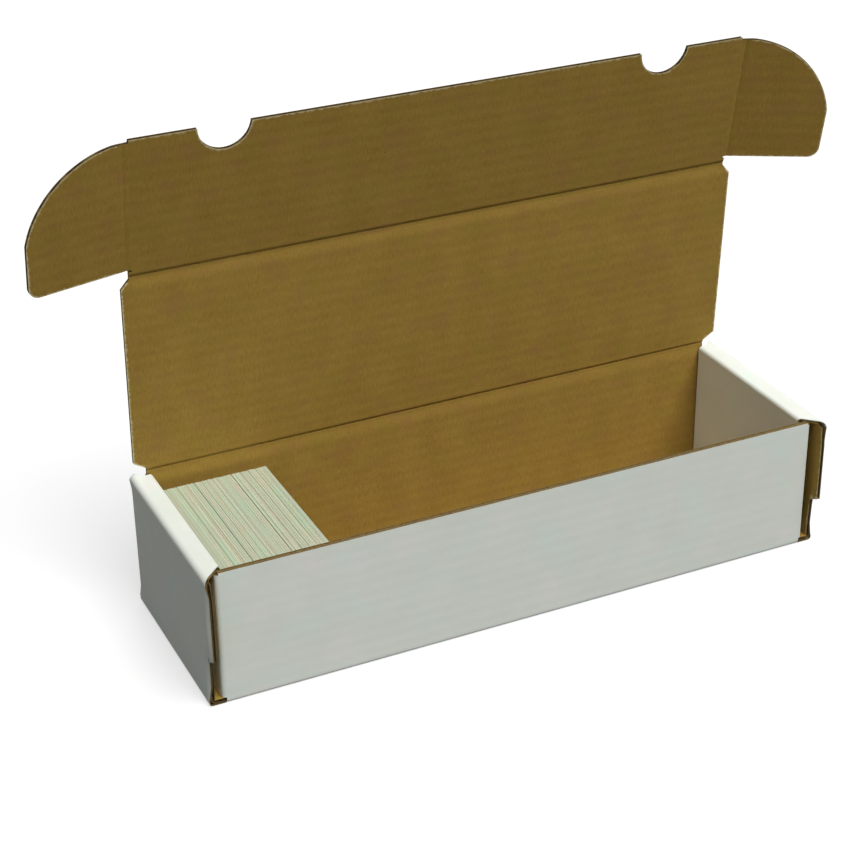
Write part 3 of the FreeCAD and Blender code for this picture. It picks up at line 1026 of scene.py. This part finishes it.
def roll_ridge(side, direction):
    """The board over one end, cut to the ridge's plan."""
    node = side + "_end_ridge"
    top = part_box(node)[1].z
    outer_top = top - RIDGE_OUTER
    inner_top = top - RIDGE_INNER
    width = half_length - inner_face
    plane = along_bend((direction * half_length, 0, 0), (-direction, 0, 0), Z_AXIS)
    skin = LINER / 2
    outer_centre = (RIDGE_OUTER, outer_top)
    inner_centre = (width - RIDGE_INNER, inner_top)
    outside = (arc(outer_centre, RIDGE_OUTER - skin, 180, 90)
               + arc(inner_centre, RIDGE_INNER - skin, 90, 0))
    under = top - RIDGE_BOARD + skin
    inside = ([(BOARD - skin, outer_top)]
              + arc((BOARD + KRAFT_OUTER, under - KRAFT_OUTER), KRAFT_OUTER, 180, 90, 4)
              + arc((width - BOARD - KRAFT_INNER, under - KRAFT_INNER), KRAFT_INNER, 90, 0, 3)
              + [(width - BOARD + skin, inner_top)])
    core = top - RIDGE_BOARD / 2 - RIDGE_CORE
    middle = ([(HALF, outer_top)] + arc((BOARD, core), RIDGE_CORE, 160, 90, 5)
              + arc((width - RIDGE_CORE_INSET, core), RIDGE_CORE, 90, 0, 5)
              + [(width - RIDGE_CORE, inner_top)])
    reach = half_depth + 3 * RIDGE_REACH
    papers = bent_board(node, outside, middle, inside, (-reach, reach), RIDGE_SWING)
    bare_rims(papers[0], looks_round)
    for sheet in papers:
        sheet.data.transform(plane)
    cut(papers, prism(node + "_die", ridge_plan(direction), 0, 2 * top))
    finish_bend(node, papers, Matrix(), "box", needles=True)


for side, direction in (("left", -1), ("right", 1)):
    roll_ridge(side, direction)

# %% [markdown]
# ## The corner flaps
# Each wall ends in a flap that turns the corner and lies between the outer and the inner end
# panel. It is squeezed there, and its top edge slopes down to its free end. Little of it shows,
# but it closes the view into the slot that takes an ear.

# %% Fold the corner flaps
CORNER_RADIUS = 2.0 * MM
FLAP_BOARD = 1.8 * MM
FLAP_SWING = 0.32 * MM
FLAP_DROP = 10.0 * MM
FLAP_CORE = 1.5 * MM


def corner_flap(node, x_side, y_side):
    """One flap round a corner of the box, with its top edge cut at a slope."""
    low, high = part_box(node)
    near = min(abs(low.y), abs(high.y))
    corner = (x_side * wall_half, y_side * half_depth, 0)
    plane = along_bend(corner, (x_side, 0, 0), (0, -y_side, 0))
    face = flap_face - wall_half
    free = half_depth - near
    skin = LINER / 2
    outside = arc((0, CORNER_RADIUS), CORNER_RADIUS - skin, -90, 0) + [(face - skin, free)]
    back = face - FLAP_BOARD
    inside = [(0, BOARD - skin), (back + skin, BOARD), (back + skin, BOARD + MM),
              (back + skin, free)]
    core = face - FLAP_BOARD / 2
    middle = arc((core - FLAP_CORE, BOARD), FLAP_CORE, -80, 0, 5) + [(core, free)]
    ends = reach_along(node, plane, 1)
    papers = bent_board(node, outside, middle, inside, ends, FLAP_SWING)
    bare_rims(papers[0], looks_round)
    slope = Vector((0, y_side * -FLAP_DROP, half_depth - BOARD - near)).normalized()
    for sheet in papers:
        sheet.data.transform(plane)
        shorten(sheet, (0, y_side * (half_depth - BOARD), high.z), -slope)
    finish_bend(node, papers, Matrix(), "box")


for y_name, y_side in (("front", -1), ("back", 1)):
    for x_name, x_side in (("left", -1), ("right", 1)):
        corner_flap(y_name + "_" + x_name + "_corner_flap", x_side, y_side)

# %% [markdown]
# ## The cards
# Nearly two hundred cards stand in the left end. One card is modelled, with a slight bow, and
# copied along each pack. No two sit quite alike: each copy is shifted, lowered and tinted a
# little, a few are much darker or brighter, and an attribute keeps the tint for the finish.

# %% Stand the cards in the box
CARD_PITCH = 0.308 * MM
CARD_THICKNESS = 0.27 * MM
CARD_BOW_PARTS = 6
CARD_BOW = 0.05 * MM
CARD_SHIFT = 0.18 * MM
CARD_DROP = 0.16 * MM
CARD_STRENGTH = (0.92, 1.06)
CARD_ROUGHNESS = 0.55
CARD_GRAIN_HEIGHT = 0.02 * MM
CARD_GRAIN_SCALE = 900.0
CARD_INK_SCALE = 60.0
CARD_WARM_SCALE = 45.0
CARD_WARM = (0.62, 0.52, 0.40, 1.0)
CARD_INK = (0.28, 0.38, 0.34, 1.0)
ODD_CARDS = ((0.03, 0.62), (0.07, 1.22))
TINT = "tint"
CARD_TINTS = (
    (0.55, 0.64, 0.45), (0.50, 0.62, 0.46), (0.58, 0.60, 0.44), (0.47, 0.59, 0.45),
    (0.52, 0.66, 0.52), (0.60, 0.57, 0.43), (0.50, 0.61, 0.41), (0.54, 0.65, 0.47),
)
card_dice = random.Random(11)


def card_stock():
    """Cut card edges: each card has its own tint, and ink from the faces shows in places."""
    recipe = new_recipe("card_stock")
    tint = recipe.add("Attribute", {"attribute_name": TINT})
    place = recipe.add("TexCoord")["Object"]
    inked = recipe.noise(place, CARD_INK_SCALE, 2.0, (30.0, 1.0, 1.0))
    warmth = recipe.noise(place, CARD_WARM_SCALE, 1.0, (6.0, 1.0, 1.0))
    warm = recipe.mix((warmth - 0.5) * 1.2 + 0.2, tint, CARD_WARM)
    cool = recipe.mix((inked - 0.62) * 2.2, warm, CARD_INK)
    grain = recipe.noise(place, CARD_GRAIN_SCALE)
    return recipe.finish(base_color=cool, roughness=CARD_ROUGHNESS,
                         normal=recipe.bump(grain, CARD_GRAIN_HEIGHT))


CARD = card_stock()


def one_card(low, high):
    """A thin card that fills the height and depth between two corners, divided so it can bow."""
    bpy.ops.mesh.primitive_cube_add(size=1, location=((low + high) / 2))
    card = bpy.context.object
    card.scale = (CARD_THICKNESS, high.y - low.y, high.z - low.z)
    pick(card)
    bpy.ops.object.transform_apply(location=True, rotation=False, scale=True)
    for part in range(1, CARD_BOW_PARTS):
        place = low.y + (high.y - low.y) * part / CARD_BOW_PARTS
        with whole_mesh(card):
            bpy.ops.mesh.bisect(plane_co=(0, place, 0), plane_no=(0, 1, 0))
    return card


def card_pack(node):
    """Separate cards in the place of one of the CAD model's packs."""
    low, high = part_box(node)
    count = int((high.x - low.x) / CARD_PITCH)
    model = one_card(low, high)
    flat = points_of(model)
    middle = (low.x + high.x) / 2
    half = (high.y - low.y) / 2
    cards = []
    for number in range(count):
        card = model if number == count - 1 else bpy.data.objects.new(node, model.data.copy())
        if card is not model:
            bpy.context.scene.collection.objects.link(card)
        points = flat.copy()
        points[:, 0] += low.x + (number + 0.5) * (high.x - low.x) / count - middle
        bow = card_dice.uniform(-CARD_BOW, CARD_BOW)
        points[:, 0] += bow * (1 - (points[:, 1] / half) ** 2)
        points[:, 1] += card_dice.gauss(0, CARD_SHIFT)
        points[points[:, 2] > flat[:, 2].mean(), 2] -= abs(card_dice.gauss(0, CARD_DROP))
        set_points(card, points)
        tint = np.array(card_dice.choice(CARD_TINTS)) * card_dice.uniform(*CARD_STRENGTH)
        odd = card_dice.random()
        tint *= next((strength for share, strength in ODD_CARDS if odd < share), 1.0)
        colours = card.data.color_attributes.new(name=TINT, type="FLOAT_COLOR", domain="CORNER")
        colours.data.foreach_set("color", np.tile([*tint, 1.0], len(card.data.loops)))
        cards.append(card)
    pack = join(cards, node + "_cards")
    pack.data.materials.append(CARD)
    install(pack, "cards", [node])


for node in ("left_card_pack", "middle_card_pack", "right_card_pack"):
    card_pack(node)

# %% [markdown]
# ## Floor and light
# The floor is plain and pale. Seen by the camera it is lifted towards white, which leaves only a
# soft shadow. One broad lamp high before the box lights all that the photograph shows: its height
# makes the tops bright, the walls paler than the leaning flap, and the left end dark. A second
# lamp behind the box lights its back, which the photograph doesn't show, and a weak one from the
# left reaches into the box and the open slots.

# %% Light the studio
FLOOR_SIDE = 12.0
FLOOR_DROP = 0.2 * MM
FLOOR_ROUGHNESS = 0.9
FLOOR_CLOUD_SCALE = 3.0
FLOOR_CLOUDS = 0.1
FLOOR_LIFT = 0.60
FLOOR_COLOUR = (1.0, 1.0, 1.0, 1.0)
FLOOR_SHADE = (0.94, 0.94, 0.94, 1.0)
FLOOR_BOUNCE = (0.03, 0.03, 0.03, 1.0)
WHITE_LIGHT = (1.0, 1.0, 1.0, 1.0)
WORLD_LEVEL = 0.03
KEY_LIGHT = (3.25, (0.29, -0.90, 1.60), 36)
BACK_LIGHT = (1.1, (0.45, 1.00, 0.40), 40)
FILL_LIGHT = (0.48, (-0.95, -0.45, 0.90), 50)

bpy.ops.mesh.primitive_plane_add(size=FLOOR_SIDE, location=(0, 0, -FLOOR_DROP))
floor = bpy.context.object
floor.name = "floor"
bpy.ops.object.transform_apply(location=True)


def seen_directly(recipe):
    """One where the camera sees a surface, also in a mirror or through glass."""
    path = recipe.add("LightPath")
    seen = path["Is Camera Ray"] + path["Is Glossy Ray"] + path["Is Transmission Ray"]
    return recipe.add("Math", {"operation": "MINIMUM"}, {0: seen, 1: 1.0})


def floor_finish():
    recipe = new_recipe("floor_paper")
    seen = seen_directly(recipe)
    clouds = recipe.noise(recipe.add("TexCoord")["Object"], FLOOR_CLOUD_SCALE)
    pale = recipe.mix(clouds * FLOOR_CLOUDS, FLOOR_COLOUR, FLOOR_SHADE)
    recipe.finish(base_color=recipe.mix(seen, FLOOR_BOUNCE, pale), roughness=FLOOR_ROUGHNESS)
    lift = recipe.add("Emission", {}, {"Color": WHITE_LIGHT, "Strength": 1.0})
    both = recipe.add("MixShader", {}, {0: seen * FLOOR_LIFT,
                                        1: Wire(recipe, recipe.shader.outputs[0]), 2: lift})
    output = recipe.nodes["Material Output"]
    recipe.links.new(both.socket, output.inputs["Surface"])
    return recipe.owner


floor.data.materials.append(floor_finish())

world = bpy.data.worlds.new("studio")
bpy.context.scene.world = world
sky = Recipe(world, "Background")
sky.finish(color=WHITE_LIGHT, strength=seen_directly(sky) * (1.0 - WORLD_LEVEL) + WORLD_LEVEL)


def lamp(name, strength, direction, softness):
    """A far lamp that shines from a direction, softened over an angle in degrees."""
    bpy.ops.object.light_add(type="SUN")
    light = bpy.context.object
    light.name = name
    light.data.energy = strength
    light.data.angle = math.radians(softness)
    light.rotation_euler = Vector(direction).to_track_quat("Z", "Y").to_euler()


lamp("key_light", *KEY_LIGHT)
lamp("back_light", *BACK_LIGHT)
lamp("fill_light", *FILL_LIGHT)
bpy.context.scene.view_settings.view_transform = "Standard"
